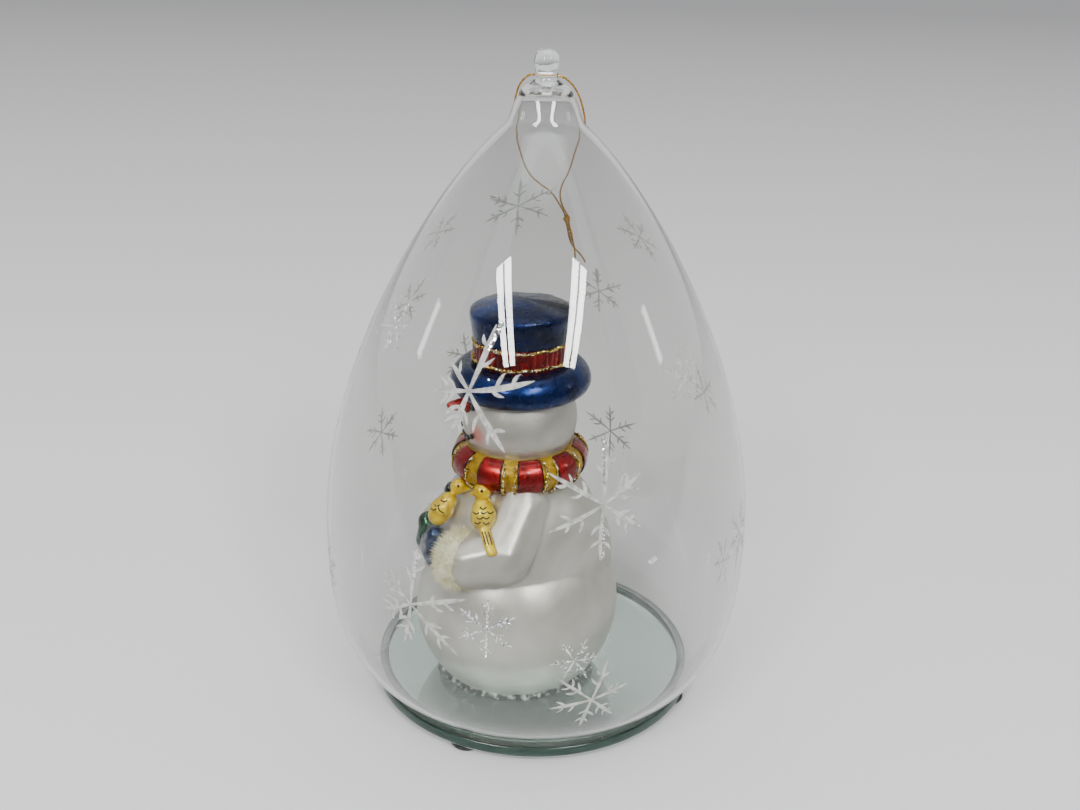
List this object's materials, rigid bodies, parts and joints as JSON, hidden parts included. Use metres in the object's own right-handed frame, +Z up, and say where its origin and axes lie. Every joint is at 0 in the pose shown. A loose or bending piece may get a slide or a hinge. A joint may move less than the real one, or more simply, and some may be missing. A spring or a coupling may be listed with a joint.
{
  "type": "snow globe",
  "caption": "Waterless snow globe: teardrop blown-glass dome with painted snowflakes over a glass snowman on a round mirror plate, with a gold hanging thread.",
  "frame": {"origin": "centre of the mirror plate, on the surface that the rubber feet stand on", "axes": "+Z up through the dome's axis, -Y is the way the snowman faces, +X is the snowman's left"},
  "size_m": [0.126, 0.126, 0.1907],
  "materials": {
    "plate_glass": "clear float glass with a ground edge, faintly green",
    "mirror_silver": "silvered back of the plate",
    "backing_paint": "matt grey mirror backing paint",
    "foot_rubber": "soft black rubber",
    "clear_glue": "clear cured adhesive",
    "pearl_white": "blown glass, silvered inside and lacquered in satin pearl white",
    "carrot_orange": "gloss lacquer on glass",
    "black_enamel": "gloss enamel dots",
    "cream_flock": "flocked cream fur",
    "mitten_blue": "metallic blue lacquer",
    "mitten_green": "metallic green lacquer",
    "bird_yellow": "yellow lacquer with painted feathers",
    "scarf_yellow": "metallic yellow lacquer",
    "lacquer_red": "metallic red lacquer on silvered glass",
    "gold_glitter": "gold glitter in clear glue",
    "lacquer_blue": "metallic blue lacquer on silvered glass",
    "clear_glass": "clear blown glass with white and glitter painted snowflakes",
    "gold_thread": "twisted metallic gold thread"
  },
  "bodies": {
    "base": {"plate_glass": "plate_glass", "silver_coat": "mirror_silver", "backing_paint": "backing_paint", "foot_front": "foot_rubber", "foot_right": "foot_rubber", "foot_back": "foot_rubber", "foot_left": "foot_rubber", "glue_bead": "clear_glue", "body_lower": "pearl_white", "torso": "pearl_white", "head": "pearl_white", "nose": "carrot_orange", "eyes": "black_enamel", "mouth": "black_enamel", "button": "black_enamel", "arm_left": "pearl_white", "arm_right": "pearl_white", "cuff_left": "cream_flock", "cuff_right": "cream_flock", "mitten_left": "mitten_blue", "mitten_right": "mitten_green", "bird_left": "bird_yellow", "bird_right": "bird_yellow", "scarf_yellow": "scarf_yellow", "scarf_red": "lacquer_red", "scarf_trim": "gold_glitter", "hat_brim": "lacquer_blue", "hat_band": "lacquer_red", "band_trim": "gold_glitter", "hat_crown": "lacquer_blue"},
    "dome": {"glass_dome": "clear_glass", "hanging_eye": "clear_glass"},
    "hanger": {"thread_left": "gold_thread", "thread_right": "gold_thread", "thread_knot": "gold_thread"}
  },
  "joints": [
    {"name": "dome_lift", "type": "slide", "parent": "base", "child": "dome", "axis": [0, 0, 1], "range_m": [0, 0.15]},
    {"name": "thread_swing", "type": "hinge", "parent": "dome", "child": "hanger", "pos_m": [0, 0, 0.1839], "axis": [0.5, 0.866, 0], "range_deg": [0, 142]}
  ]
}
